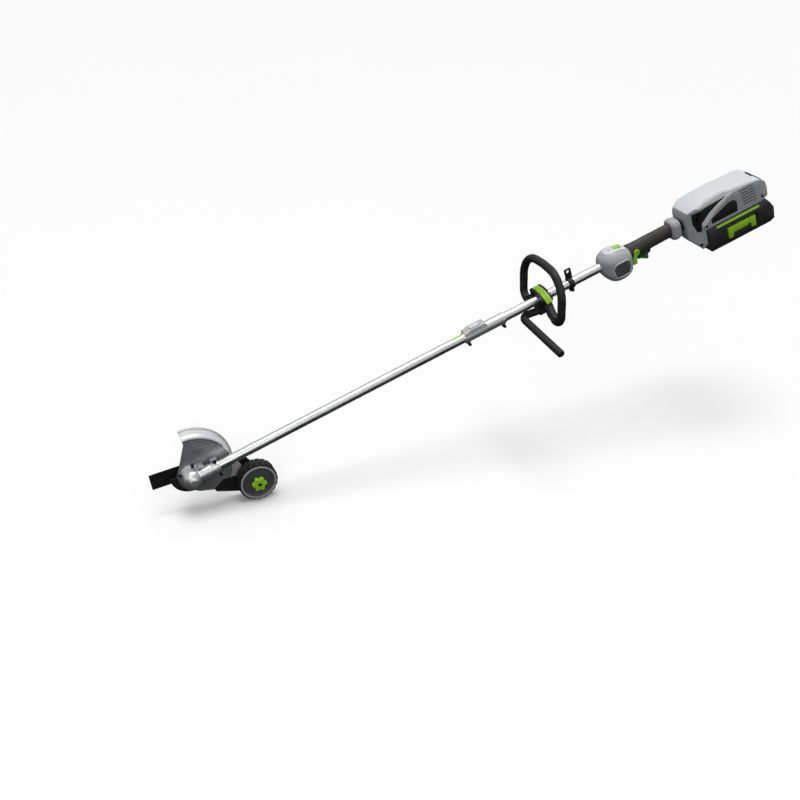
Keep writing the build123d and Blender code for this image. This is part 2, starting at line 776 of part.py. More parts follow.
with BuildPart() as loop_handle_frame:
    with BuildSketch(section(1036)):
        Polygon(
            (-34, 0.4),
            (-34, 5),
            (-27, 8),
            (-9, 18.4),
            (16, 18.4),
            (21, 13),
            (34, 12),
            (34, 0.4),
            align=None,
        )
    extrude(amount=28)
    for wall_start, wall_end in ((1034, 1040.5), (1059.5, 1066)):
        lower_edge = [(-34, 0.4), (34, 0.4), (35, 19)]
        upper_edge = [(32, 22), (24, 23), (8, 24.6), (-12, 22.6), (-30, 14), (-34, 8)]
        block(lower_edge + upper_edge, wall_start, wall_end)
    for flip in (-1, 1):
        with BuildSketch(HANDLE_PLANE.offset(-8)):
            Polygon(
                (flip * 20, 6),
                (flip * 34, 6),
                (flip * 62, -18),
                (flip * 80, -26),
                (flip * 74, -41),
                (flip * 50, -38),
                (flip * 22, -19),
                align=None,
            )
        extrude(amount=16)
    for flip in (-1, 1):
        handle_leg(flip)
    handle_top(HANDLE_CORE_R, SLEEVE_START)
    # Clear the tube, the lower half of the clamp and the lever pivot.
    rod(1000, 1100, TUBE_R + FIT, mode=Mode.SUBTRACT)
    prism(1020, 1080, 47, 40, w=-19.7, mode=Mode.SUBTRACT)
    rod(1030, 1070, 2.05, w=18, y=30, mode=Mode.SUBTRACT)
    clamp_bolt_holes()
save("loop_handle_frame", loop_handle_frame)

with BuildPart() as loop_grip_sleeve:
    handle_top(HANDLE_BAR_R + 0.3, SLEEVE_START)
    handle_top(HANDLE_CORE_R + FIT, SLEEVE_START - 3, mode=Mode.SUBTRACT)
save("loop_grip_sleeve", loop_grip_sleeve)

with BuildPart() as handle_clamp_saddle:
    block(
        [(-23, 0), (-23, -14), (-17, -22), (17, -22), (23, -14), (23, 0)], 1036, 1064
    )
    rod(1030, 1070, TUBE_R + FIT, mode=Mode.SUBTRACT)
    clamp_bolt_holes()
save("handle_clamp_saddle", handle_clamp_saddle)

LEVER_PIVOT = (30.0, 18.0)
with BuildPart() as handle_clamp_lever:
    with BuildSketch(section(1041)):
        Polygon(
            (30, 22),
            (24, 23.5),
            (8, 25.5),
            (-12, 23.5),
            (-32, 14.5),
            (-42, 7.5),
            (-45, 3),
            (-42.8, 1.8),
            (-38, 7),
            (-27, 12.5),
            (-9, 19.6),
            (18, 19.6),
            (26, 18),
            (30, 17),
            align=None,
        )
        with Locations(LEVER_PIVOT):
            Circle(4)
    extrude(amount=18)
    rod(1035, 1065, 2.05, w=LEVER_PIVOT[1], y=LEVER_PIVOT[0], mode=Mode.SUBTRACT)
save("handle_clamp_lever", handle_clamp_lever)

# ---------------------------------------------------------------- barrier bar
BAR_R = 10.6
BAR_BEND_R = 18.0
BAR_ROOT = boom_point(1034, -33, -2)
BAR_BEND = boom_point(977, -25, 0)
BAR_TIP = boom_point(988, -64, -182)
with BuildPart() as barrier_bar:
    with BuildLine() as bar_path:
        FilletPolyline(BAR_ROOT, BAR_BEND, BAR_TIP, radius=[BAR_BEND_R])
    with BuildSketch(Plane(origin=BAR_ROOT, x_dir=UP, z_dir=BAR_BEND - BAR_ROOT)):
        Circle(BAR_R)
    sweep(path=bar_path.line)
    tip_edges = barrier_bar.edges().filter_by(GeomType.CIRCLE).sort_by_distance(BAR_TIP)
    fillet(tip_edges[0], radius=4)
    # Saddle foot that screws to the lower half of the clamp.
    block([(-17, -22), (17, -22), (14, -34), (-16, -40), (-19, -34)], 1026, 1060)
save("barrier_bar", barrier_bar)

# ---------------------------------------------------------------- hanger
HANGER_HOLE_W = 37.0
with BuildPart() as hanger_clamp:
    rod(1133, 1147, 16.2)
    side_plate([(1130, 14), (1150, 14), (1150, 44), (1148, 46), (1132, 46), (1130, 44)], -1.5, 1.5)
    side_plate([(1134, -24), (1146, -24), (1146, -13), (1134, -13)], -5, 5)
    rod(1120, 1160, TUBE_R + FIT, mode=Mode.SUBTRACT)
    cross_pin(1140, HANGER_HOLE_W, -5, 5, 4.5, mode=Mode.SUBTRACT)
    side_plate([(1130, -26), (1150, -26), (1150, -11), (1130, -11)], -0.8, 0.8, mode=Mode.SUBTRACT)
    cross_pin(1140, -20, -8, 8, SCREW_HOLE_R, mode=Mode.SUBTRACT)
save("hanger_clamp", hanger_clamp)


# ---------------------------------------------------------------- front housing
FRONT_STATIONS = (
    (1236, 34, 36, 0),
    (1246, 60, 68, -4),
    (1264, 80, 90, -9),
    (1288, 84, 94, -11),
    (1310, 76, 84, -12),
    (FRONT_END, 48, 54, -6),
)


def front_body(grow):
    """Egg-shaped body of the front housing, grown outwards by grow."""
    rings = []
    for u, width, height, centre in FRONT_STATIONS:
        with BuildSketch(section(u)) as ring:
            with Locations((0, centre)):
                RectangleRounded(width + 2 * grow, height + 2 * grow, 0.4 * width + grow)
        rings.append(ring.sketch)
    loft(rings)


with BuildPart() as front_solid:
    front_body(0)

with BuildPart() as front_cavity:
    front_body(-2.6)
    prism(1236.0, 1239.0, 200, 200, mode=Mode.SUBTRACT)
    prism(FRONT_END - 2.6, FRONT_END + 1, 200, 200, mode=Mode.SUBTRACT)

with BuildPart() as front_skin:
    front_body(0.9)
    add(front_solid.part, mode=Mode.SUBTRACT)

GRILLE_OUTLINE = [
    (1262, -32),
    (1304, -32),
    (1311, -20),
    (1309, 0),
    (1299, 8),
    (1268, 8),
    (1258, -4),
]


def outline_plate(points, inset, y_start, y_end, mode):
    """Side plate with its outline moved inwards by inset."""
    with BuildSketch(side(y_end)) as profile:
        Polygon(*points, align=None)
        if inset:
            offset(amount=-inset)
    push(profile, side(y_end), y_end - y_start, mode)


def front_shell():
    """Front housing shell with its tube bore, grille windows and button hole."""
    add(front_solid.part)
    add(front_cavity.part, mode=Mode.SUBTRACT)
    rod(1230, UPPER_TUBE_END + 0.5, TUBE_R + FIT, mode=Mode.SUBTRACT)
    rod(UPPER_TUBE_END, FRONT_END + 1, 9.5, mode=Mode.SUBTRACT)
    for y_start, y_end in ((-60, -25), (25, 60)):
        side_plate(GRILLE_OUTLINE, y_start, y_end, mode=Mode.SUBTRACT)
    with BuildSketch(deck(20)) as hole:
        with Locations((BUTTON_U, 0)):
            RectangleRounded(22.8, 15.8, 3.2)
    push(hole, deck(20), 40, Mode.SUBTRACT)


with BuildPart() as front_housing_left:
    front_shell()
    split(bisect_by=Plane.XZ, keep=Keep.TOP)
save("front_housing_left", front_housing_left)

with BuildPart() as front_housing_right:
    front_shell()
    split(bisect_by=Plane.XZ, keep=Keep.BOTTOM)
save("front_housing_right", front_housing_right)

with BuildPart() as display_panel:
    add(front_skin.part)
    with BuildSketch(deck(20)) as panel_outline:
        with BuildLine():
            Polyline(
                (1256, -11),
                (1266, -17),
                (1312, -17),
                (1320, -12),
                (1320, 12),
                (1312, 17),
                (1266, 17),
                (1256, 11),
                close=True,
            )
        make_face()
        with Locations((BUTTON_U, 0)):
            RectangleRounded(22.8, 15.8, 3.2, mode=Mode.SUBTRACT)
        with Locations((1273, 5), (1273, 0), (1273, -5)):
            Rectangle(9, 2.2, mode=Mode.SUBTRACT)
    push(panel_outline, deck(20), 40, Mode.INTERSECT)
save("display_panel", display_panel)

with BuildPart() as speed_button:
    with BuildSketch(deck(31.0)):
        with Locations((BUTTON_U, 0)):
            RectangleRounded(22, 15, 2.8)
    extrude(amount=7.4)
    fillet(speed_button.edges().group_by(Axis(CROSSING, UP))[-1], radius=1.0)
save("speed_button", speed_button)

# ---------------------------------------------------------------- rear grip
GRIP_STATIONS = (
    (GRIP_START - 0.8, 37, 46, 3),
    (1341, 36, 44, 2.5),
    (1400, 34, 44, 3),
    (1440, 33, 43, 3.5),
    (GRIP_END, 34, 44, 4),
)


def grip_body(grow):
    """Oval bar of the rear grip, grown outwards by grow."""
    rings = []
    for u, width, height, centre in GRIP_STATIONS:
        with BuildSketch(section(u)) as ring:
            with Locations((0, centre)):
                Ellipse(width / 2 + grow, height / 2 + grow)
        rings.append(ring.sketch)
    loft(rings)


with BuildPart() as grip_cavity:
    grip_body(-4.0)
    prism(GRIP_START - 1, GRIP_START + 2.5, 100, 100, mode=Mode.SUBTRACT)
    prism(1460, 1470, 100, 100, mode=Mode.SUBTRACT)


def grip_shell():
    """Hollow grip with its trigger slot, lock-off slot and shaft holes."""
    grip_body(0)
    side_plate([(1332, -10), (1397, -10), (1391, -26), (1332, -26)], -9, 9)
    add(grip_cavity.part, mode=Mode.SUBTRACT)
    side_plate([(1351, -30), (1389, -30), (1389, -8), (1351, -8)], -6.4, 6.4, mode=Mode.SUBTRACT)
    side_plate([(1320, -40), (1350, -40), (1350, -19.6), (1320, -19.6)], -60, 60, mode=Mode.SUBTRACT)
    rod(1324, 1466, 9.5, mode=Mode.SUBTRACT)
    cross_pin(*TRIGGER_PIVOT, -12, 12, 2.0, mode=Mode.SUBTRACT)
    cross_pin(*LOCK_PIVOT, -30, 30, 2.05, mode=Mode.SUBTRACT)


with BuildPart() as rear_grip_left:
    grip_shell()
    split(bisect_by=Plane.XZ, keep=Keep.TOP)
save("rear_grip_left", rear_grip_left)

with BuildPart() as rear_grip_right:
    grip_shell()
    split(bisect_by=Plane.XZ, keep=Keep.BOTTOM)
save("rear_grip_right", rear_grip_right)

with BuildPart() as trigger:
    side_plate(
        [
            (1353, -10.5),
            (1358, -10.5),
            (1363, -16),
            (1386, -18),
            (1386, -40),
            (1383, -44),
            (1377, -42),
            (1363, -33),
            (1353, -31),
        ],
        -5.6,
        5.6,
    )
    cross_pin(*TRIGGER_PIVOT, -8, 8, 2.05, mode=Mode.SUBTRACT)
save("trigger", trigger)

with BuildPart() as lock_off_lever:
    for y_start, y_end in ((-23.4, -19.2), (19.2, 23.4)):
        cross_pin(*LOCK_PIVOT, y_start, y_end, 8.5)
        side_plate(
            [(1336, 1), (1331, -10), (1328.5, -28), (1340, -28), (1341, -10), (1350, -3)],
            y_start,
            y_end,
        )
    side_plate([(1328.5, -31), (1339.5, -30.5), (1340, -24.8), (1328.8, -25)], -23.4, 23.4)
    cross_pin(*LOCK_PIVOT, -30, 30, 2.05, mode=Mode.SUBTRACT)
save("lock_off_lever", lock_off_lever)

with BuildPart() as pivot_pins:
    rod(1034.5, 1065.5, 2.0, w=LEVER_PIVOT[1], y=LEVER_PIVOT[0])
    cross_pin(*TRIGGER_PIVOT, -11.8, 11.8, 2.0)
    for y_start, y_end in ((-24, -13.0), (13.0, 24)):
        cross_pin(*LOCK_PIVOT, y_start, y_end, 2.0)
save("pivot_pins", pivot_pins)

with BuildPart() as grip_collar:
    collar_rings = []
    for u, width, height, centre in (
        (GRIP_END, 38, 48, 3.5),
        (1469, 48, 58, 3),
        (1482, 50, 60, 2.5),
        (COLLAR_END, 44, 54, 2),
    ):
        with BuildSketch(section(u)) as ring:
            with Locations((0, centre)):
                RectangleRounded(width, height, 0.36 * width)
        collar_rings.append(ring.sketch)
    loft(collar_rings)
    rod(COLLAR_END - 2, HOUSING_START - 0.4, NECK_R, w=2)
    rod(1460, 1510, 9.5, mode=Mode.SUBTRACT)
save("grip_collar", grip_collar)


# ---------------------------------------------------------------- rear housing
def housing_body(inset):
    """Motor and controller housing: side outline, plan outline and cross-section combined."""
    with BuildSketch(side(60)) as outline:
        Polygon(
            (HOUSING_START, -32),
            (HOUSING_START, 34),
            (1509, 46),
            (1532, 56),
            (1566, 64),
            (1622, 66),
            (1650, 60),
            (1706, 57),
            (1742, 48),
            (1764, 28),
            (1771, 6),
            (1771, DOCK_W),
            (1551, DOCK_W),
            (1551, -72),
            (1541, -82),
            align=None,
        )
        if inset:
            offset(amount=-inset, kind=Kind.INTERSECTION)
    push(outline, side(60), 120)
    with BuildSketch(deck(-120)) as plan:
        Polygon(
            (HOUSING_START, -31), (1545, -48), (1740, -48), (1772, -34), (1772, 34),
            (1740, 48), (1545, 48), (HOUSING_START, 31), align=None,
        )
        if inset:
            offset(amount=-inset, kind=Kind.INTERSECTION)
    push(plan, deck(-120), 220, Mode.INTERSECT)
    with BuildSketch(section(1480)) as front:
        Polygon(
            (-28, 70), (-46, 50), (-48.5, 34), (-48.5, -64), (-34, -90), (34, -90),
            (48.5, -64), (48.5, 34), (46, 50), (28, 70), align=None,
        )
        if inset:
            offset(amount=-inset, kind=Kind.INTERSECTION)
    push(front, section(1480), 320, Mode.INTERSECT)


with BuildPart() as housing_solid:
    housing_body(0)

with BuildPart() as housing_cavity:
    housing_body(HOUSING_WALL)

with BuildPart() as housing_shell:
    add(housing_solid.part)
    add(housing_cavity.part, mode=Mode.SUBTRACT)

INTAKE_OUTLINE = [
    (1518, 40),
    (1560, 47),
    (1634, 51),
    (1600, 41),
    (1568, 26),
    (1541, 4),
    (1540, -20),
    (1528, -20),
    (1518, 10),
]
BADGE_OUTLINE = [(1572, -12), (1660, -12), (1660, 18), (1650, 28), (1632, 28), (1572, 4)]
EXHAUST_OUTLINE = [(1738, -14), (1762, -11), (1762, 11), (1738, 14)]
RAIL_Y = 30.0
HOUSING_SCREWS = ((1532, -60), (1556, -12), (1744, -6))


def housing_case():
    """Whole rear housing before it is divided into its mouldings."""
    add(housing_shell.part)
    for rib_y_start, rib_y_end in ((-50.2, -45.5), (45.5, 50.2)):
        side_plate(
            [
                (1541.5, -6),
                (1554, -6),
                (1592, 24),
                (1646, 49),
                (1646, 54),
                (1630, 52),
                (1572, 33),
                (1541.5, 9),
            ],
            rib_y_start,
            rib_y_end,
        )
    # Rails that carry the battery.
    for rail_y in (-RAIL_Y, RAIL_Y):
        prism(1560, 1752, 4.0, 8.0, w=DOCK_W - 3.8, y=rail_y)
        prism(1560, 1752, 10.0, 4.0, w=DOCK_W - 9.8, y=rail_y)
    for boss_u, boss_w in HOUSING_SCREWS:
        cross_pin(boss_u, boss_w, -45.4, 45.4, 5.6)
        cross_pin(boss_u, boss_w, -42.6, 12, SCREW_HOLE_R, mode=Mode.SUBTRACT)
        cross_pin(boss_u, boss_w, -52, -42.4, 4.6, mode=Mode.SUBTRACT)
    for y_start, y_end in ((-60, -20), (20, 60)):
        outline_plate(INTAKE_OUTLINE, 0, y_start, y_end, Mode.SUBTRACT)
        outline_plate(BADGE_OUTLINE, 0, y_start, y_end, Mode.SUBTRACT)
        for slot in range(6):
            slot_u = 1670 + 2 * slot
            slot_w = 40 - 9 * slot
            side_plate(
                [
                    (slot_u, slot_w),
                    (slot_u + 46, slot_w),
                    (slot_u + 48, slot_w + 4),
                    (slot_u + 2, slot_w + 4),
                ],
                y_start,
                y_end,
                mode=Mode.SUBTRACT,
            )
    with BuildSketch(deck(25)) as exhaust:
        Polygon(*EXHAUST_OUTLINE, align=None)
    push(exhaust, deck(25), 60, Mode.SUBTRACT)
    rod(1500, 1507, 9.5, mode=Mode.SUBTRACT)
    prism(1545, 1556, 40.6, 20.6, w=-52, mode=Mode.SUBTRACT)
    prism(1764, 1775, 24.8, 12.8, w=2, y=-14, mode=Mode.SUBTRACT)


COVER_OUTLINE = [
    (1500, 42),
    (1532, 50.5),
    (1566, 57),
    (1622, 59),
    (1650, 55),
    (1706, 51),
    (1742, 42),
    (1790, 30),
    (1790, 90),
    (1500, 90),
]

with BuildPart() as rear_top_cover:
    housing_case()
    side_plate(COVER_OUTLINE, -70, 70, mode=Mode.INTERSECT)
save("rear_top_cover", rear_top_cover)


def housing_base():
    """Rear housing below its top cover."""
    housing_case()
    side_plate(COVER_OUTLINE, -70, 70, mode=Mode.SUBTRACT)


with BuildPart() as rear_housing_left:
    housing_base()
    split(bisect_by=Plane.XZ, keep=Keep.TOP)
save("rear_housing_left", rear_housing_left)

with BuildPart() as rear_housing_right:
    housing_base()
    split(bisect_by=Plane.XZ, keep=Keep.BOTTOM)
save("rear_housing_right", rear_housing_right)

# ---------------------------------------------------------------- grilles and blank badges
with BuildPart() as intake_inserts:
    add(housing_shell.part)
    outline_plate(INTAKE_OUTLINE, 0.2, -60, 60, Mode.INTERSECT)
    for slot in range(4):
        side_plate(
            [
                (1523 + 4 * slot, 32 + 2 * slot),
                (1527 + 4 * slot, 34 + 2 * slot),
                (1536 + 2 * slot, 6 + 5 * slot),
                (1533 + 2 * slot, 4 + 5 * slot),
            ],
            -60,
            60,
            mode=Mode.SUBTRACT,
        )

with BuildPart() as exhaust_insert:
    add(housing_shell.part)
    with BuildSketch(deck(25)) as exhaust_outline:
        Polygon(*EXHAUST_OUTLINE, align=None)
        offset(amount=-0.2)
        with Locations((1744, 0), (1750, 0), (1756, 0)):
            Rectangle(2.4, 16, mode=Mode.SUBTRACT)
    push(exhaust_outline, deck(25), 60, Mode.INTERSECT)

with BuildPart() as front_inserts:
    add(front_solid.part)
    add(front_cavity.part, mode=Mode.SUBTRACT)
    outline_plate(GRILLE_OUTLINE, 0.2, -60, 60, Mode.INTERSECT)
    for slot in range(5):
        slot_w = -27 + 6.6 * slot
        side_plate(
            [(1268, slot_w), (1300, slot_w), (1300, slot_w + 2.6), (1268, slot_w + 2.6)],
            -60,
            60,
            mode=Mode.SUBTRACT,
        )

with BuildPart() as vent_grilles:
    add(intake_inserts.part)
    add(exhaust_insert.part)
    add(front_inserts.part)
save("vent_grilles", vent_grilles)

with BuildPart() as badge_plates:
    add(housing_shell.part)
    outline_plate(BADGE_OUTLINE, 0.2, -60, 60, Mode.INTERSECT)
save("badge_plates", badge_plates)

with BuildPart() as battery_release_button:
    prism(1762, 1776, 24, 12, w=2, y=-14)
    fillet(battery_release_button.edges().group_by(Axis(CROSSING, ALONG))[-1], radius=1.5)
save("battery_release_button", battery_release_button)

# ---------------------------------------------------------------- motor and electronics
with BuildPart() as motor_stator:
    rod(MOTOR_START, 1541, 29.5)
    rod(1514.5, 1538.5, 18.6, mode=Mode.SUBTRACT)
    rod(MOTOR_START, 1541, SHAFT_R + FIT, mode=Mode.SUBTRACT)
    with BuildSketch(section(1514.5)) as stator_slots:
        with PolarLocations(22, 9):
            Rectangle(5, 4.6)
    push(stator_slots, section(1514.5), 24, Mode.SUBTRACT)
save("motor_stator", motor_stator)

with BuildPart() as motor_rotor:
    rod(1510.6, 1547.4, SHAFT_R)
    rod(1515.2, 1537.8, 18.0)
save("motor_rotor", motor_rotor)

with BuildPart() as cooling_fan:
    rod(1542.2, 1543.4, 24)
    rod(1542.2, 1547.2, 8)
    with BuildSketch(section(1543.4)) as fan_blades:
        with PolarLocations(15.4, 9):
            Rectangle(15.6, 1.4, rotation=18)
    push(fan_blades, section(1543.4), 3.8)
    rod(1542, 1548, SHAFT_R + 0.02, mode=Mode.SUBTRACT)
save("cooling_fan", cooling_fan)

with BuildPart() as controller_board:
    prism(1580, 1690, 68, 1.6, w=26)
    prism(1590, 1640, 40, 8, w=30.8)
    for capacitor in range(3):
        with BuildSketch(deck(26.8)) as can:
            with Locations((1656 + 13 * capacitor, -16)):
                Circle(5.6)
        push(can, deck(26.8), 16)
    for pillar_u, pillar_y in ((1586, -30), (1586, 30), (1684, -30), (1684, 30)):
        with BuildSketch(deck(DOCK_W + HOUSING_WALL)) as pillar:
            with Locations((pillar_u, pillar_y)):
                Circle(3)
        push(pillar, deck(DOCK_W + HOUSING_WALL), 25.2 - DOCK_W - HOUSING_WALL)
save("controller_board", controller_board)

with BuildPart() as terminal_block:
    prism(1545.5, 1551.8, 40, 20, w=-52)
    for blade_y in (-16, -6, 6, 16):
        prism(1551.8, 1562, 1.2, 10, w=-52, y=blade_y)
save("terminal_block", terminal_block)

with BuildPart() as switch_module:
    prism(1382, 1424, 12, 7, w=13.9)
    prism(1390, 1396, 5, 3, w=9.4)
save("switch_module", switch_module)

with BuildPart() as power_head_screws:
    socket_screw(812, -22, -6, 12.4)
    socket_screw(921, -22, -6, 12.4)
    socket_screw(1140, -20, -5, 10.4)
    for bolt_y in (-CLAMP_BOLT_Y, CLAMP_BOLT_Y):
        with BuildSketch(deck(-21)) as head:
            with Locations((HANDLE_AT, bolt_y)):
                Circle(SCREW_HEAD_R)
                Circle(2.1, mode=Mode.SUBTRACT)
        push(head, deck(-21), 2.5)
        with BuildSketch(deck(-18.5)) as neck:
            with Locations((HANDLE_AT, bolt_y)):
                Circle(SCREW_HEAD_R)
        push(neck, deck(-18.5), 2.4)
        with BuildSketch(deck(-16.1)) as shank:
            with Locations((HANDLE_AT, bolt_y)):
                Circle(SCREW_R)
        push(shank, deck(-16.1), 22)
    for screw_u, screw_w in HOUSING_SCREWS:
        socket_screw(screw_u, screw_w, -42.4, 50)
save("power_head_screws", power_head_screws)


# ---------------------------------------------------------------- battery
def battery_body(grow):
    """Battery outline from its side, plan and front outlines, grown outwards by grow."""
    with BuildSketch(side(60)) as outline:
        Polygon(
            (BATTERY_START, -22.6), (1757, -22.6), (1783, -62), (1781, -94), (1770, -105),
            (1568, -105), (BATTERY_START, -84), align=None,
        )
        if grow:
            offset(amount=grow, kind=Kind.INTERSECTION)
    push(outline, side(60), 120)
    with BuildSketch(deck(-130)) as plan:
        Polygon(
            (BATTERY_START, -44), (1561, -50), (1765, -50), (1784, -40), (1784, 40), (1765, 50),
            (1561, 50), (BATTERY_START, 44), align=None,
        )
        if grow:
            offset(amount=grow, kind=Kind.INTERSECTION)
    push(plan, deck(-130), 130, Mode.INTERSECT)
    with BuildSketch(section(1540)) as front:
        Polygon(
            (-44, -22), (-50, -36), (-50, -80), (-37, -106), (37, -106), (50, -80), (50, -36),
            (44, -22), align=None,
        )
        if grow:
            offset(amount=grow, kind=Kind.INTERSECTION)
    push(front, section(1540), 260, Mode.INTERSECT)


with BuildPart() as battery_solid:
    battery_body(0)

with BuildPart() as battery_case:
    add(battery_solid.part)
    prism(1568, 1768, 76, 62, w=-68, mode=Mode.SUBTRACT)
    for slot_y in (-RAIL_Y, RAIL_Y):
        prism(1550, 1756, 4.8, 8.0, w=-24.0, y=slot_y, mode=Mode.SUBTRACT)
        prism(1550, 1756, 10.8, 5.2, w=-29.8, y=slot_y, mode=Mode.SUBTRACT)
    for blade_y in (-16, -6, 6, 16):
        prism(1550, 1564, 2.4, 12, w=-52, y=blade_y, mode=Mode.SUBTRACT)
    side_plate([(1612, -44), (1720, -44), (1716, -88), (1616, -88)], -52, -42, mode=Mode.SUBTRACT)
save("battery_case", battery_case)

with BuildPart() as battery_trim_strips:
    battery_body(0.7)
    add(battery_solid.part, mode=Mode.SUBTRACT)
    side_plate([(1586, -33), (1730, -33), (1730, -27), (1586, -27)], -70, 70, mode=Mode.INTERSECT)
save("battery_trim_strips", battery_trim_strips)

with BuildPart() as battery_grab_bar:
    side_plate(
        [(1620, -50), (1712, -50), (1712, -82), (1698, -82), (1694, -65), (1638, -65),
         (1634, -82), (1620, -82)],
        -52.0,
        -42.0,
    )
    side_plate([(1640, -64), (1692, -64), (1690, -74), (1642, -74)], -46.0, -42.0)
save("battery_grab_bar", battery_grab_bar)

with BuildPart() as battery_cells:
    for column in range(7):
        for row_w in (-84, -54):
            cross_pin(1584 + 28 * column, row_w, -35, 35, 10.5)
save("battery_cells", battery_cells)
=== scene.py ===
"""Finishes, detail pieces, studio and camera for the lawn edger."""

import json
import math

import bmesh
import bpy
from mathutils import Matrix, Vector
from mathutils.bvhtree import BVHTree


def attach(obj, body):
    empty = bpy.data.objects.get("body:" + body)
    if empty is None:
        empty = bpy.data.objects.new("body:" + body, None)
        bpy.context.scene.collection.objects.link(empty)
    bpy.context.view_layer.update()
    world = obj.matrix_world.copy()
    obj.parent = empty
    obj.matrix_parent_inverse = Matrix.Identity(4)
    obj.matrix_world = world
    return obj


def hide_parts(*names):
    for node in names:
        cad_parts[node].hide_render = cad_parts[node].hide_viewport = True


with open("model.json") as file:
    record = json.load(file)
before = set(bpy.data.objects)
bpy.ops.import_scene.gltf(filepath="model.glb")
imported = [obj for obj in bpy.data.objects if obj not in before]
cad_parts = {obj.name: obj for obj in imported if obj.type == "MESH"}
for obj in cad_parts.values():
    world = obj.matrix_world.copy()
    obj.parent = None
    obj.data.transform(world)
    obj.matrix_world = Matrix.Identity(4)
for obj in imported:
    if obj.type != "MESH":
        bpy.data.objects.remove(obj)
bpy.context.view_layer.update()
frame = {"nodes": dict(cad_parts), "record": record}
nodes = frame["nodes"]
MM = 0.001

# ---------------------------------------------------------------- boom coordinates
PITCH = math.radians(18.2)
ALONG = Vector((math.cos(PITCH), 0, math.sin(PITCH)))
UP = Vector((-math.sin(PITCH), 0, math.cos(PITCH)))
ACROSS = Vector((0, 1, 0))
ARBOR = Vector((-0.168, 0, 0.1))


def boom(u, w, y):
    """Point in the row frame, in metres, for boom coordinates in millimetres."""
    return ARBOR + (ALONG * u + UP * w + ACROSS * y) * MM


# ---------------------------------------------------------------- materials
class Finish:
    """A node material under construction, with helpers for the nodes it needs."""

    def __init__(self, name):
        self.material = bpy.data.materials.new(name)
        self.material.use_nodes = True
        self.tree = self.material.node_tree
        self.shader = self.tree.nodes["Principled BSDF"]
        self.coords = self.add("ShaderNodeTexCoord").outputs["Object"]

    def add(self, kind, **settings):
        """Add a node and set its properties."""
        node = self.tree.nodes.new(kind)
        for key, value in settings.items():
            setattr(node, key, value)
        return node

    def join(self, source, target):
        """Link two sockets."""
        self.tree.links.new(source, target)

    def feed(self, socket, value):
        """Link a socket or set a plain value."""
        if isinstance(value, bpy.types.NodeSocket):
            self.join(value, socket)
        else:
            socket.default_value = value

    def math(self, operation, first, second=0.0, third=0.0, clamp=False):
        """Math node."""
        node = self.add("ShaderNodeMath", operation=operation, use_clamp=clamp)
        for socket, value in zip(node.inputs, (first, second, third)):
            self.feed(socket, value)
        return node.outputs[0]

    def vector(self, operation, first, second):
        """Vector math node."""
        node = self.add("ShaderNodeVectorMath", operation=operation)
        self.feed(node.inputs[0], first)
        self.feed(node.inputs[1], second)
        return node.outputs["Value" if operation in ("DOT_PRODUCT", "LENGTH") else "Vector"]

    def span(self, value, low, high, to_low=0.0, to_high=1.0, smooth=True):
        """Map a range onto another, held at its ends."""
        node = self.add("ShaderNodeMapRange")
        node.interpolation_type = "SMOOTHSTEP" if smooth else "LINEAR"
        for name, amount in (
            ("Value", value),
            ("From Min", low),
            ("From Max", high),
            ("To Min", to_low),
            ("To Max", to_high),
        ):
            self.feed(node.inputs[name], amount)
        return node.outputs["Result"]

    def mix(self, factor, first, second):
        """Mix two colours."""
        node = self.add("ShaderNodeMix", data_type="RGBA")
        self.feed(node.inputs["Factor"], factor)
        for socket, value in zip([s for s in node.inputs if s.type == "RGBA"], (first, second)):
            self.feed(socket, value)
        return [s for s in node.outputs if s.type == "RGBA"][0]

    def noise(self, scale, detail=4.0, coords=None, roughness=0.55):
        """Noise between 0 and 1."""
        node = self.add("ShaderNodeTexNoise")
        self.join(coords or self.coords, node.inputs["Vector"])
        node.inputs["Scale"].default_value = scale
        node.inputs["Detail"].default_value = detail
        node.inputs["Roughness"].default_value = roughness
        return node.outputs[0]

    def stretched(self, along, around):
        """Object coordinates turned to the boom and scaled along it and around it."""
        mapping = self.add("ShaderNodeMapping", vector_type="POINT")
        mapping.inputs["Rotation"].default_value = (0, PITCH, 0)
        mapping.inputs["Scale"].default_value = (along, around, around)
        self.join(self.coords, mapping.inputs["Vector"])
        return mapping.outputs["Vector"]

    def boom_axis(self, axis, origin):
        """Distance in metres from origin along a direction."""
        offset = self.vector("SUBTRACT", self.coords, tuple(origin))
        return self.vector("DOT_PRODUCT", offset, tuple(axis))

    def edges(self, radius):
        """1 on edges sharper than about 25 degrees, 0 elsewhere."""
        bevel = self.add("ShaderNodeBevel", samples=4)
        bevel.inputs["Radius"].default_value = radius
        geometry = self.add("ShaderNodeNewGeometry")
        agree = self.vector("DOT_PRODUCT", bevel.outputs["Normal"], geometry.outputs["Normal"])
        return self.span(agree, 0.995, 0.9, 0.0, 1.0)

    def bump(self, height, strength, distance, normal=None):
        """Bump from a height."""
        node = self.add("ShaderNodeBump")
        node.inputs["Strength"].default_value = strength
        node.inputs["Distance"].default_value = distance
        self.join(height, node.inputs["Height"])
        if normal is not None:
            self.join(normal, node.inputs["Normal"])
        return node.outputs["Normal"]


SCUFF_SCALE = 160.0
SMUDGE_SCALE = 34.0
EDGE_RADIUS = 0.0009
GRAIN_HEIGHT = 0.00025
RELIEF_HEIGHT = 0.0008


def shade(colour, amount):
    """Colour made lighter or darker by a share."""
    return tuple(min(1.0, c * amount) for c in colour) + (1.0,)


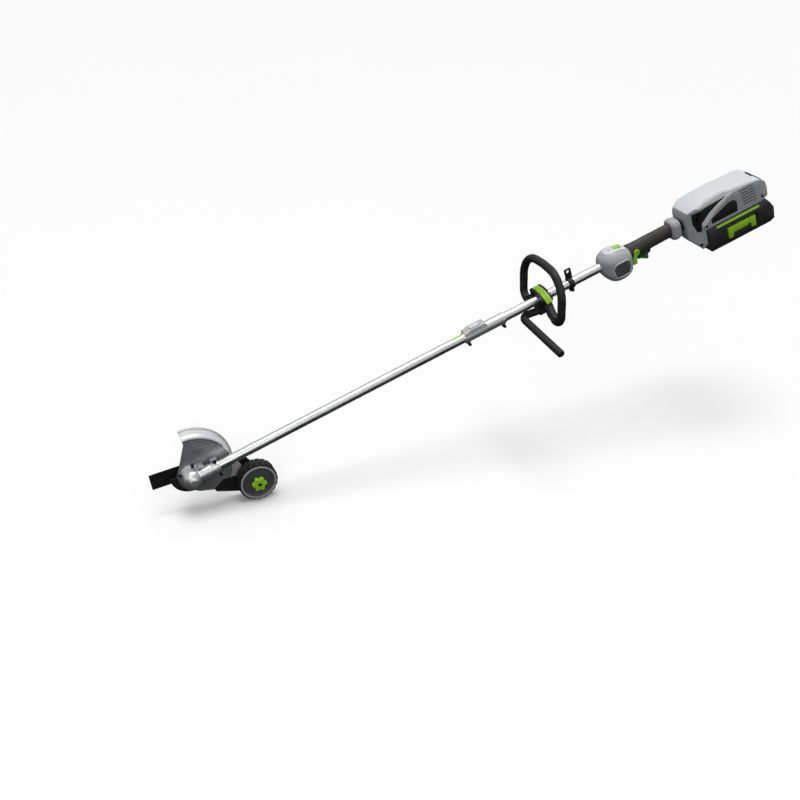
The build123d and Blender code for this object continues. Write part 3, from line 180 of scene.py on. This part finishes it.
def base_finish(
    name,
    colour,
    roughness,
    metallic=0.0,
    variation=0.12,
    blotch=14.0,
    grain=1400.0,
    grain_depth=0.25,
    wear=0.5,
    wear_colour=None,
    along=None,
    paint=None,
    relief=None,
):
    """Finish with blotches, grain, uneven gloss and rubbed edges.

    along stretches the grain down the boom. paint and relief are functions that take the
    finish and return a changed colour or a height for a second, coarser bump.
    """
    finish = Finish(name)
    tone = finish.noise(blotch, 5.0)
    shown = finish.mix(tone, shade(colour, 1 - variation), shade(colour, 1 + variation))
    if paint:
        shown = paint(finish, shown)
    scuff = finish.span(finish.noise(SCUFF_SCALE, 6.0, roughness=0.7), 0.5, 0.68)
    edge = finish.math("MULTIPLY", finish.edges(EDGE_RADIUS), scuff)
    edge = finish.math("MULTIPLY", edge, wear)
    rubbed = wear_colour or tuple(min(1.0, c * 1.5 + 0.05) for c in colour)
    shown = finish.mix(edge, shown, tuple(rubbed) + (1.0,))
    finish.join(shown, finish.shader.inputs["Base Color"])
    grain_coords = finish.stretched(*along) if along else finish.coords
    fine = finish.noise(grain, 3.0, grain_coords)
    smudge = finish.noise(SMUDGE_SCALE, 5.0, roughness=0.62)
    gloss = finish.span(smudge, 0.3, 0.7, roughness - 0.07, roughness + 0.08)
    gloss = finish.math("MULTIPLY_ADD", fine, 0.06, gloss)
    finish.join(gloss, finish.shader.inputs["Roughness"])
    normal = finish.bump(fine, grain_depth, GRAIN_HEIGHT)
    if relief:
        normal = finish.bump(relief(finish), 0.8, RELIEF_HEIGHT, normal)
    finish.join(normal, finish.shader.inputs["Normal"])
    finish.shader.inputs["Metallic"].default_value = metallic
    return finish.material


KNURL_SCALE = 420.0


def knurl(finish):
    """Pimples of a moulded rubber grip."""
    cells = finish.add("ShaderNodeTexVoronoi", feature="F1")
    cells.inputs["Scale"].default_value = KNURL_SCALE
    finish.join(finish.coords, cells.inputs["Vector"])
    return finish.span(cells.outputs["Distance"], 0.15, 0.5, 1.0, 0.0)


# Painted bands lie between two distances in metres, along, across or out from the boom.
BLACK_PAINT = (0.012, 0.012, 0.013, 1)
BAND_SOFTNESS = 0.0003


def ring_band(finish, distance, low, high):
    """1 where a distance lies between two values, 0 elsewhere, with narrow soft edges."""
    rise = finish.span(distance, low - BAND_SOFTNESS, low + BAND_SOFTNESS)
    fall = finish.span(distance, high - BAND_SOFTNESS, high + BAND_SOFTNESS, 1, 0)
    return finish.math("MULTIPLY", rise, fall)


# The guard's rolled shell is a surface of revolution about this point of the boom (mm).
GUARD_U = 11
GUARD_W = -1
# Spans in metres out from that point: a painted sheen that lightens the panel outwards, a painted
# highlight on the rolled shoulder, and dark bands of painted shade in the creases and along the
# lip.
SHEEN_HIGHLIGHT_SPAN = (0.045, 0.09)
SHOULDER_SPAN = (0.0985, 0.1015)
OUTER_CREASE_SHADE_SPAN = (0.0958, 0.0972)
INNER_CREASE_SHADE_SPAN = (0.0882, 0.0889)
LIP_CREASE_SHADE_SPAN = (0.0555, 0.057)
SHEEN_HIGHLIGHT_COLOUR = (0.46, 0.47, 0.48, 1)
SHOULDER_HIGHLIGHT = (0.84, 0.85, 0.86, 1)
CREASE_SHADE_COLOUR = (0.06, 0.06, 0.065, 1)


def guard_paint(finish, shown):
    """Painted highlight on the rolled shoulder and painted shade in dark bands at the creases
    beside it; the flat panel is darker, with a painted sheen lightening it outwards.
    """
    centre = boom(GUARD_U, GUARD_W, 0)
    out_u = finish.boom_axis(ALONG, centre)
    out_w = finish.boom_axis(UP, centre)
    squares = finish.math("ADD", finish.math("POWER", out_u, 2), finish.math("POWER", out_w, 2))
    radius = finish.math("SQRT", squares)
    shoulder = finish.span(radius, *SHOULDER_SPAN)
    # Painted sheen lightening the panel outwards, then a painted highlight on the rolled shoulder.
    sheen_highlight = finish.span(radius, *SHEEN_HIGHLIGHT_SPAN, 0.0, 0.75)
    panel = finish.mix(sheen_highlight, shown, SHEEN_HIGHLIGHT_COLOUR)
    panel = finish.mix(shoulder, panel, SHOULDER_HIGHLIGHT)
    # Painted shade: dark bands in the outer and inner creases and along the lip on the shoulder.
    lip_shade_band = ring_band(finish, finish.boom_axis(ACROSS, ARBOR), *LIP_CREASE_SHADE_SPAN)
    for crease_shade in (
        ring_band(finish, radius, *OUTER_CREASE_SHADE_SPAN),
        ring_band(finish, radius, *INNER_CREASE_SHADE_SPAN),
        finish.math("MULTIPLY", lip_shade_band, shoulder),
    ):
        panel = finish.mix(crease_shade, panel, CREASE_SHADE_COLOUR)
    return panel


AXLE_TIP = (-0.0248, -0.0244)
TIP_PAINT = (0.01, 0.01, 0.01, 1)


def axle_paint(finish, shown):
    """Blackened tip on the end of the axle that shows in the knob."""
    across = finish.boom_axis(ACROSS, ARBOR)
    return finish.mix(finish.span(across, *AXLE_TIP, 1, 0), shown, TIP_PAINT)


POD_GRILLE_SPAN = (1.24, 1.32)
SLAT_PAINT = (0.1, 0.105, 0.11, 1)


def grille_paint(finish, shown):
    """Grey slats in the control pod's grilles; everything rearwards of it stays black."""
    along = finish.boom_axis(ALONG, ARBOR)
    return finish.mix(ring_band(finish, along, *POD_GRILLE_SPAN), shown, SLAT_PAINT)


RIDGE_FACE = (0.0486, 0.0489)
COLLAR_NECK = (1.4912, 1.5028)
RIDGE_PAINT = (0.74, 0.77, 0.79, 1)


def ridge_paint(finish, shown):
    """Silver on the ridges that stand proud of the side walls, black on the collar's neck."""
    across = finish.math("ABSOLUTE", finish.boom_axis(ACROSS, ARBOR))
    shown = finish.mix(finish.span(across, *RIDGE_FACE), shown, RIDGE_PAINT)
    neck = ring_band(finish, finish.boom_axis(ALONG, ARBOR), *COLLAR_NECK)
    return finish.mix(neck, shown, BLACK_PAINT)


MATERIALS = {}


def define(slot, **settings):
    """Make the finish for one material slot of the record."""
    MATERIALS[slot] = base_finish(slot, **settings)


define(
    "bright_aluminium", colour=(0.86, 0.87, 0.88), roughness=0.24, metallic=1.0,
    variation=0.04, grain=900.0, grain_depth=0.12, along=(0.02, 1.0), wear=0.2,
)
define(
    "cast_aluminium", colour=(0.72, 0.73, 0.74), roughness=0.33, metallic=0.85,
    variation=0.12, grain=1900.0, grain_depth=0.6, wear=0.8, wear_colour=(0.9, 0.9, 0.9),
)
define(
    "guard_grey", colour=(0.27, 0.275, 0.28), roughness=0.32, metallic=0.55, variation=0.1,
    grain=1000.0, grain_depth=0.3, wear=0.8, wear_colour=(0.8, 0.8, 0.8), paint=guard_paint,
)
define(
    "black_steel", colour=(0.01, 0.01, 0.011), roughness=0.42, metallic=0.2, variation=0.3,
    grain=700.0, grain_depth=0.3, along=(0.3, 1.0), wear=0.9, wear_colour=(0.4, 0.4, 0.41),
)
define(
    "zinc_steel", colour=(0.56, 0.56, 0.57), roughness=0.3, metallic=1.0, variation=0.08,
    grain=1500.0, grain_depth=0.3, wear=0.6, paint=axle_paint,
)
define(
    "black_plastic", colour=(0.012, 0.012, 0.013), roughness=0.42, variation=0.2,
    grain=1700.0, grain_depth=0.5, wear=0.35, paint=grille_paint,
)
define(
    "dark_grey_plastic", colour=(0.03, 0.031, 0.033), roughness=0.42, variation=0.14,
    grain=1600.0, grain_depth=0.5, wear=0.4,
)
# housing_grey is painted shade: it stands for the same silver plastic as housing_silver, darkened
# on the housing's sides.
define(
    "housing_grey", colour=(0.4, 0.425, 0.445), roughness=0.38, variation=0.06,
    grain=1500.0, grain_depth=0.35, wear=0.4, paint=ridge_paint,
)
define(
    "housing_silver", colour=(0.74, 0.77, 0.8), roughness=0.32, metallic=0.15,
    variation=0.04, grain=1500.0, grain_depth=0.25, wear=0.35,
)
define(
    "lime_plastic", colour=(0.34, 0.68, 0.035), roughness=0.3, variation=0.08,
    grain=1300.0, grain_depth=0.2, wear=0.4, wear_colour=(0.62, 0.85, 0.3),
)
define(
    "green_plastic", colour=(0.07, 0.2, 0.035), roughness=0.36, variation=0.1,
    grain=1300.0, grain_depth=0.25, wear=0.3,
)
define(
    "grip_rubber", colour=(0.01, 0.01, 0.011), roughness=0.5, variation=0.2,
    grain=1100.0, grain_depth=0.6, wear=0.3, relief=knurl,
)
define(
    "grip_grey_rubber", colour=(0.045, 0.043, 0.04), roughness=0.48, variation=0.15,
    grain=1100.0, grain_depth=0.5, wear=0.3, relief=knurl,
)
define(
    "tyre_rubber", colour=(0.009, 0.009, 0.0095), roughness=0.55, variation=0.25,
    grain=800.0, grain_depth=0.7, wear=0.6, wear_colour=(0.16, 0.155, 0.15),
)
define(
    "rim_plastic", colour=(0.09, 0.09, 0.1), roughness=0.42, variation=0.12,
    grain=1400.0, grain_depth=0.4, wear=0.4,
)
define(
    "rim_trim", colour=(0.4, 0.43, 0.41), roughness=0.36, variation=0.07,
    grain=1400.0, grain_depth=0.3, wear=0.4,
)
define(
    "bronze", colour=(0.55, 0.37, 0.17), roughness=0.35, metallic=1.0, variation=0.12,
    grain=1700.0, grain_depth=0.4, wear=0.4,
)
define(
    "circuit_board", colour=(0.03, 0.16, 0.07), roughness=0.35, variation=0.14,
    grain=600.0, grain_depth=0.2, wear=0.3,
)
define(
    "cell_wrap", colour=(0.07, 0.2, 0.4), roughness=0.34, variation=0.08,
    grain=700.0, grain_depth=0.2, wear=0.3,
)

SLOT_OF = {part["node"]: part["material_slot"] for part in frame["record"]["subparts"]}

# ---------------------------------------------------------------- rounded copies of CAD nodes
BODY_OF = {}
for body_name, members in frame["record"]["behaviour"]["bodies"].items():
    for member in members:
        BODY_OF[member] = body_name


def paint(piece, slot):
    """Give a piece one finish in place of what it has."""
    piece.data.materials.clear()
    piece.data.materials.append(MATERIALS[slot])


FLAT_ANGLE = math.radians(0.6)
BEVEL_ANGLE = math.radians(28)
CREASE_ANGLE = math.radians(38)
WELD_GAP = 1e-6


def folded(edge, limit):
    """Whether an edge between two faces turns by more than a limit."""
    return len(edge.link_faces) == 2 and edge.calc_face_angle(0.0) > limit


def rounded(node, width):
    """Copy of a CAD node with its sharp edges rounded, standing in for the node."""
    source = nodes[node]
    mesh = source.data.copy()
    shape = bmesh.new()
    shape.from_mesh(mesh)
    bmesh.ops.remove_doubles(shape, verts=shape.verts, dist=WELD_GAP)
    bmesh.ops.dissolve_limit(
        shape, angle_limit=FLAT_ANGLE, verts=shape.verts, edges=shape.edges
    )
    bmesh.ops.bevel(
        shape,
        geom=[edge for edge in shape.edges if folded(edge, BEVEL_ANGLE)],
        offset=width * MM,
        segments=2,
        profile=0.6,
        affect="EDGES",
        clamp_overlap=True,
    )
    bmesh.ops.triangulate(shape, faces=[f for f in shape.faces if len(f.verts) > 4])
    for face in shape.faces:
        face.smooth = True
    for edge in shape.edges:
        edge.smooth = not folded(edge, CREASE_ANGLE)
    shape.to_mesh(mesh)
    shape.free()
    for name in ("custom_normal", "sharp_face"):
        if name in mesh.attributes:
            mesh.attributes.remove(mesh.attributes[name])
    piece = bpy.data.objects.new(node + "_moulded", mesh)
    bpy.context.scene.collection.objects.link(piece)
    paint(piece, SLOT_OF[node])
    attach(piece, BODY_OF[node])
    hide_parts(node)


# Edge width in mm of every node that gets rounded edges.
ROUNDINGS = {
    "rear_top_cover": 2.2,
    "rear_housing_left": 1.4,
    "rear_housing_right": 1.4,
    "badge_plates": 0.5,
    "vent_grilles": 0.3,
    "battery_case": 2.0,
    "battery_grab_bar": 1.2,
    "battery_trim_strips": 0.3,
    "battery_release_button": 0.6,
    "grip_collar": 1.2,
    "front_housing_left": 0.7,
    "front_housing_right": 0.7,
    "display_panel": 0.3,
    "coupler_body": 0.9,
    "hanger_clamp": 0.6,
    "handle_clamp_lever": 1.0,
    "handle_clamp_saddle": 0.9,
    "loop_handle_frame": 0.9,
    "trigger": 1.2,
    "lock_off_lever": 1.1,
    "rear_grip_left": 0.8,
    "rear_grip_right": 0.8,
    "gear_case": 0.8,
    "wheel_bracket": 0.6,
    "debris_flap": 0.5,
    "wheel_rim": 0.5,
    "wheel_tyre": 0.7,
    "blade_guard": 0.5,
    "barrier_bar": 0.8,
    "attachment_screws": 0.35,
    "power_head_screws": 0.35,
}

for node in nodes:
    if node in ROUNDINGS:
        rounded(node, ROUNDINGS[node])
    else:
        paint(nodes[node], SLOT_OF[node])


# ---------------------------------------------------------------- detail pieces
def finish_piece(shape, name, slot, body):
    """Turn a bmesh into a smooth-shaded piece that rides one body."""
    mesh = bpy.data.meshes.new(name)
    bmesh.ops.recalc_face_normals(shape, faces=shape.faces)
    for face in shape.faces:
        face.smooth = True
    for edge in shape.edges:
        edge.smooth = edge.calc_face_angle(0.0) < CREASE_ANGLE
    shape.to_mesh(mesh)
    shape.free()
    piece = bpy.data.objects.new(name, mesh)
    bpy.context.scene.collection.objects.link(piece)
    paint(piece, slot)
    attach(piece, body)


def bead(name, points, radius, slot, body, closed=False, sides=12):
    """Round bead of one radius (mm) that follows points given in metres."""
    shape = bmesh.new()
    count = len(points)
    rings = []
    side_dir = None
    for index, point in enumerate(points):
        before = points[index - 1] if index or closed else point
        after = points[(index + 1) % count] if index < count - 1 or closed else point
        heading = (after - before).normalized()
        if side_dir is None:
            side_dir = heading.orthogonal().normalized()
        side_dir = (side_dir - heading * side_dir.dot(heading)).normalized()
        other = heading.cross(side_dir)
        ring = []
        for step in range(sides):
            turn = 2 * math.pi * step / sides
            offset = side_dir * math.cos(turn) + other * math.sin(turn)
            ring.append(shape.verts.new(point + offset * radius * MM))
        rings.append(ring)
    spans = zip(rings, rings[1:] + rings[:1]) if closed else zip(rings, rings[1:])
    for first, second in spans:
        for step in range(sides):
            turn = (step + 1) % sides
            shape.faces.new((first[step], first[turn], second[turn], second[step]))
    if not closed:
        shape.faces.new(rings[0])
        shape.faces.new(rings[-1])
    finish_piece(shape, name, slot, body)


def pad(name, centre, along, across, size, slot, body, soft=1.2):
    """Rounded pad: centre in metres, two directions of its face, size (mm) in three."""
    shape = bmesh.new()
    outward = along.cross(across).normalized()
    bmesh.ops.create_cube(shape, size=1.0)
    for vert in shape.verts:
        x, y, z = vert.co
        vert.co = centre + (along * x * size[0] + across * y * size[1] + outward * z * size[2]) * MM
    bmesh.ops.bevel(
        shape,
        geom=shape.edges[:],
        offset=min(soft, 0.45 * min(size)) * MM,
        segments=3,
        profile=0.5,
        affect="EDGES",
        clamp_overlap=True,
    )
    finish_piece(shape, name, slot, body)


# Rolled lip along the guard's front edge: radius and place across the boom, in mm.
GUARD_SECTION = (
    (90, 25.4), (99, 25.4), (103.5, 26.8), (106.6, 30), (107.6, 36.2), (107.8, 46), (107.8, 55),
    (109.4, 58), (109.4, 65),
)
LIP_ANGLE = math.radians(84.4)
LIP_R = 1.5
lip = []
for radius, y in GUARD_SECTION:
    lip_u = GUARD_U + radius * math.cos(LIP_ANGLE)
    lip_w = GUARD_W + radius * math.sin(LIP_ANGLE)
    lip.append(boom(lip_u, lip_w, y))
bead("guard_front_lip", lip, LIP_R, "guard_grey", "attachment")

# Silver frames round the control pod's grilles, laid on the pod's own surface.
GRILLE_FRAME = (
    (1261, -33.6), (1283, -33.6), (1305, -33.6), (1312.6, -20.4), (1311.6, -10), (1310.6, 0.6),
    (1299.6, 9.6), (1283, 9.6), (1267.4, 9.6), (1256.4, -3.8), (1258.8, -19),
)
FRAME_R = 1.3
FRAME_SHARES = (0.15, 0.5, 0.85)
OUTSIDE_POD = 80
SIDES = (("left", -1), ("right", 1))
for mark, flip in SIDES:
    housing = bmesh.new()
    housing.from_mesh(nodes["front_housing_" + mark].data)
    housing.transform(nodes["front_housing_" + mark].matrix_world)
    surface = BVHTree.FromBMesh(housing)
    housing.free()
    frame_points = []
    for (u, w), (next_u, next_w) in zip(GRILLE_FRAME, GRILLE_FRAME[1:] + GRILLE_FRAME[:1]):
        for share in FRAME_SHARES:
            place_u = u + (next_u - u) * share
            place_w = w + (next_w - w) * share
            start = boom(place_u, place_w, flip * OUTSIDE_POD)
            place = surface.ray_cast(start, ACROSS * -flip)[0]
            if place:
                frame_points.append(place)
    name = "grille_frame_" + mark
    bead(name, frame_points, FRAME_R, "housing_silver", "power_head", closed=True)

# Black pad across the sloping rear top of the housing, with three ribs: its black is painted shade
# for the dark recess there.
slope = (boom(1764, 28, 0) - boom(1742, 48, 0)).normalized()
vent_centre = boom(1753.4, 38.7, 0)
VENT_SIZE = (19, 58, 1.8)
RIB_SIZE = (1.6, 50, 1.6)
RIB_PITCH = 4.5
RIB_LIFT = 0.9
RIB_SOFT = 0.6
# The black pad paints the shade of the recess.
pad("rear_vent_shade_pad", vent_centre, slope, ACROSS, VENT_SIZE, "black_plastic", "power_head")
for letter, step in (("a", -1), ("b", 0), ("c", 1)):
    shift = slope * step * RIB_PITCH + slope.cross(ACROSS) * RIB_LIFT
    pad(
        "rear_vent_rib_" + letter, vent_centre + shift * MM, slope, ACROSS, RIB_SIZE,
        "dark_grey_plastic", "power_head", RIB_SOFT,
    )

# Strap eyelets on the front of the rear housing.
EYELET_U = 1502.6
EYELET_W = 25
EYELET_Y = 14
EYELET_R = 4.2
EYELET_WIRE_R = 1.3
EYELET_STEPS = 24
for mark, flip in SIDES:
    eyelet = []
    for step in range(EYELET_STEPS):
        turn = 2 * math.pi * step / EYELET_STEPS
        wire_w = EYELET_W + EYELET_R * math.sin(turn)
        wire_y = flip * EYELET_Y + EYELET_R * math.cos(turn)
        eyelet.append(boom(EYELET_U, wire_w, wire_y))
    name = "strap_eyelet_" + mark
    bead(name, eyelet, EYELET_WIRE_R, "zinc_steel", "power_head", closed=True, sides=10)

# ---------------------------------------------------------------- studio
SKY_STRENGTH = 0.55
OVERHEAD_STRENGTH = 1.5
OVERHEAD_SPREAD = 0.6
OVERHEAD_TURN = (-0.08, 0.05, 0)
FILL_POWER = 14.0
FILL_PLACE = (-1.2, -2.6, 1.6)
FILL_TARGET = (0.5, 0, 0.25)
FILL_SIZE = 1.6
FLOOR_HALF = 30.0
FLOOR_COLOUR = (0.95, 0.95, 0.95)
# The sky darkens below the horizon: heights of its two ends, and the lower end's share.
SKY_LOW = -0.12
SKY_HIGH = 0.1
SKY_DARK = 0.04


def studio_material(name, colour, roughness):
    """Finish for the floor, with faint unevenness."""
    finish = Finish(name)
    tone = finish.noise(1.2, 3.0)
    shown = finish.mix(tone, shade(colour, 0.99), shade(colour, 1.0))
    finish.join(shown, finish.shader.inputs["Base Color"])
    finish.shader.inputs["Roughness"].default_value = roughness
    finish.shader.inputs["Specular IOR Level"].default_value = 0.2
    return finish.material


floor_mesh = bpy.data.meshes.new("floor")
floor_mesh.from_pydata(
    [
        (-FLOOR_HALF, -FLOOR_HALF, 0),
        (FLOOR_HALF, -FLOOR_HALF, 0),
        (FLOOR_HALF, FLOOR_HALF, 0),
        (-FLOOR_HALF, FLOOR_HALF, 0),
    ],
    [],
    [(0, 1, 2, 3)],
)
floor = bpy.data.objects.new("floor", floor_mesh)
bpy.context.scene.collection.objects.link(floor)
floor_mesh.materials.append(studio_material("pale_floor", FLOOR_COLOUR, 0.8))
floor.visible_glossy = False
floor.visible_diffuse = False

world = bpy.data.worlds.new("studio")
world.use_nodes = True
sky = world.node_tree
background = sky.nodes["Background"]
background.inputs["Strength"].default_value = SKY_STRENGTH
sky_coords = sky.nodes.new("ShaderNodeTexCoord")
sky_split = sky.nodes.new("ShaderNodeSeparateXYZ")
sky.links.new(sky_coords.outputs["Generated"], sky_split.inputs["Vector"])
sky_height = sky.nodes.new("ShaderNodeMapRange")
sky_height.inputs["From Min"].default_value = SKY_LOW
sky_height.inputs["From Max"].default_value = SKY_HIGH
sky_height.inputs["To Min"].default_value = SKY_DARK
sky_height.inputs["To Max"].default_value = 1.0
sky.links.new(sky_split.outputs["Z"], sky_height.inputs["Value"])
sky.links.new(sky_height.outputs["Result"], background.inputs["Color"])
bpy.context.scene.world = world


def soft_light(name, place, target, size, power):
    """Square area light aimed at a point."""
    lamp = bpy.data.lights.new(name, "AREA")
    lamp.shape = "SQUARE"
    lamp.size = size
    lamp.energy = power
    light = bpy.data.objects.new(name, lamp)
    bpy.context.scene.collection.objects.link(light)
    light.location = place
    light.visible_camera = False
    light.rotation_euler = (Vector(target) - Vector(place)).to_track_quat("-Z", "Y").to_euler()


overhead_data = bpy.data.lights.new("overhead", "SUN")
overhead_data.energy = OVERHEAD_STRENGTH
overhead_data.angle = OVERHEAD_SPREAD
overhead = bpy.data.objects.new("overhead", overhead_data)
bpy.context.scene.collection.objects.link(overhead)
overhead.rotation_euler = OVERHEAD_TURN

soft_light("front_fill", FILL_PLACE, FILL_TARGET, FILL_SIZE, FILL_POWER)

# ---------------------------------------------------------------- camera
CAMERA_PLACE = (-0.6045, -2.3560, 1.6795)
CAMERA_BEARING = math.radians(-23.273)
CAMERA_DOWNWARD = math.radians(29.948)
LENS = 49.5
SENSOR_WIDTH = 36.0

camera_data = bpy.data.cameras.new("camera")
camera_data.lens = LENS
camera_data.sensor_width = SENSOR_WIDTH
camera = bpy.data.objects.new("camera", camera_data)
bpy.context.scene.collection.objects.link(camera)
camera.location = CAMERA_PLACE
camera.rotation_euler = (math.radians(90) - CAMERA_DOWNWARD, 0, CAMERA_BEARING)
bpy.context.scene.camera = camera
bpy.context.scene.view_settings.view_transform = "Standard"
